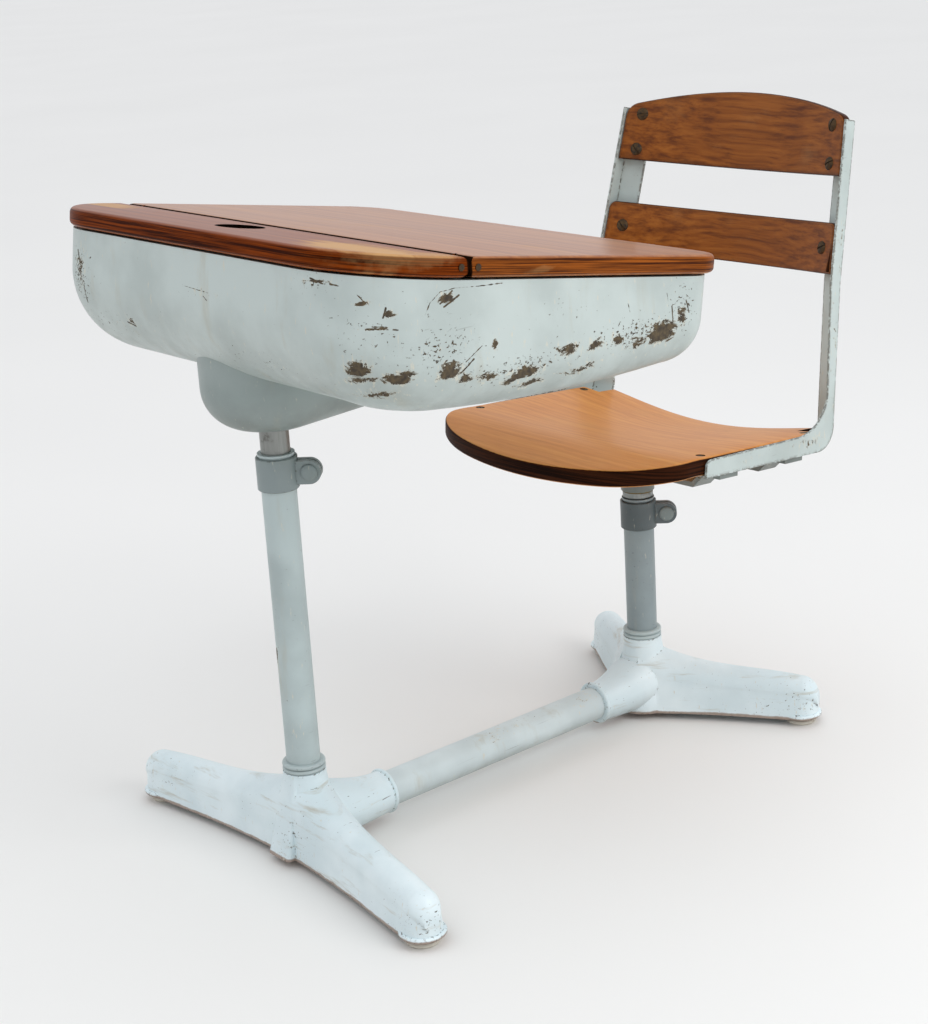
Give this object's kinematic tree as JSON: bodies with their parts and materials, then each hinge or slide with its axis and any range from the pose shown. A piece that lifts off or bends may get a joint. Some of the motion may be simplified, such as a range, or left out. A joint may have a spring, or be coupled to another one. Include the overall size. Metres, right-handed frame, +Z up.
{
  "type": "school desk with lift lid",
  "caption": "School desk with a hinged wooden lid over a pressed steel book box, on a pedestal joined by a floor beam to a height-adjustable swivel seat with a slatted back.",
  "frame": {"origin": "on the floor, at the middle of the overall footprint", "axes": "+Z up, +Y from the desk towards the seat back, +X to the pupil's left"},
  "size_m": [0.6116, 0.8756, 0.7632],
  "materials": {
    "top_wood": "varnished hardwood ply, worn satin",
    "seat_wood": "varnished hardwood ply, worn satin",
    "back_wood": "varnished bent hardwood, satin",
    "box_paint": "pale green-grey enamel on pressed steel, chipped",
    "casting_paint": "pale green-grey enamel on cast iron, chipped",
    "tube_paint": "pale green-grey enamel on steel tube, chipped",
    "frame_paint": "pale green-grey enamel on steel, rubbed",
    "clamp_paint": "pale enamel rubbed to dark steel",
    "stem_steel": "thin grey enamel, scuffed by sliding",
    "clamp_bolt": "dull, tarnished",
    "plain_steel": "dull zinc",
    "pin_steel": "dull, tarnished",
    "bolt_bronze": "dark bronze, tarnished",
    "screw_brass": "tarnished",
    "washer_brass": "dull",
    "glide_steel": "worn nickel with light rust",
    "fibre": "pressed fibre",
    "rubber": "matt"
  },
  "bodies": {
    "base": {"front_base": "casting_paint", "rear_base": "casting_paint", "beam_tube": "tube_paint", "front_column": "tube_paint", "seat_column": "tube_paint", "front_ferrule": "tube_paint", "seat_ferrule": "tube_paint", "front_clamp": "clamp_paint", "front_clamp_bolt": "clamp_bolt", "front_clamp_nut": "plain_steel", "seat_clamp": "clamp_paint", "seat_clamp_bolt": "clamp_bolt", "seat_clamp_nut": "plain_steel", "glide_front_left": "glide_steel", "glide_front_right": "glide_steel", "glide_rear_left": "glide_steel", "glide_rear_right": "glide_steel"},
    "desk": {"book_box": "box_paint", "pedestal_housing": "box_paint", "stem_head": "casting_paint", "head_bolts": "plain_steel", "head_nuts": "plain_steel", "desk_stem": "stem_steel", "top_rail": "top_wood", "rail_pins": "pin_steel", "rail_washers": "fibre", "rail_screws": "plain_steel", "lid_bumpers": "rubber"},
    "hinge_link": {"hinge_link_left": "plain_steel", "hinge_link_right": "plain_steel"},
    "lid": {"desk_lid": "top_wood", "lid_pins": "pin_steel"},
    "seat_post": {"seat_stem": "stem_steel", "thrust_collar": "stem_steel", "thrust_washer": "washer_brass"},
    "seat": {"seat_bracket": "casting_paint", "frame_rivets": "frame_paint", "side_frame_left": "frame_paint", "side_frame_right": "frame_paint", "seat_board": "seat_wood", "seat_screws": "screw_brass", "back_crest": "back_wood", "back_slat": "back_wood", "crest_bolts": "bolt_bronze", "crest_nuts": "plain_steel", "slat_bolts": "bolt_bronze", "slat_nuts": "plain_steel"}
  },
  "joints": [
    {"name": "desk_height", "type": "slide", "parent": "base", "child": "desk", "axis": [0, 0, 1], "range_m": [-0.028, 0.11]},
    {"name": "rail_hinge", "type": "hinge", "parent": "desk", "child": "hinge_link", "pos_m": [0, -0.3235, 0.69962], "axis": [1, 0, 0], "range_deg": [0, 48]},
    {"name": "lid_hinge", "type": "hinge", "parent": "hinge_link", "child": "lid", "pos_m": [0, -0.30335, 0.69643], "axis": [1, 0, 0], "range_deg": [0, 48]},
    {"name": "seat_height", "type": "slide", "parent": "base", "child": "seat_post", "axis": [0, 0, 1], "range_m": [0, 0.09]},
    {"name": "seat_swivel", "type": "hinge", "parent": "seat_post", "child": "seat", "pos_m": [0, 0.1961, 0.318], "axis": [0, 0, 1], "range_deg": [-45, 45]}
  ],
  "couplings": [
    {"joint": "rail_hinge", "follows": "lid_hinge", "ratio": 1}
  ]
}
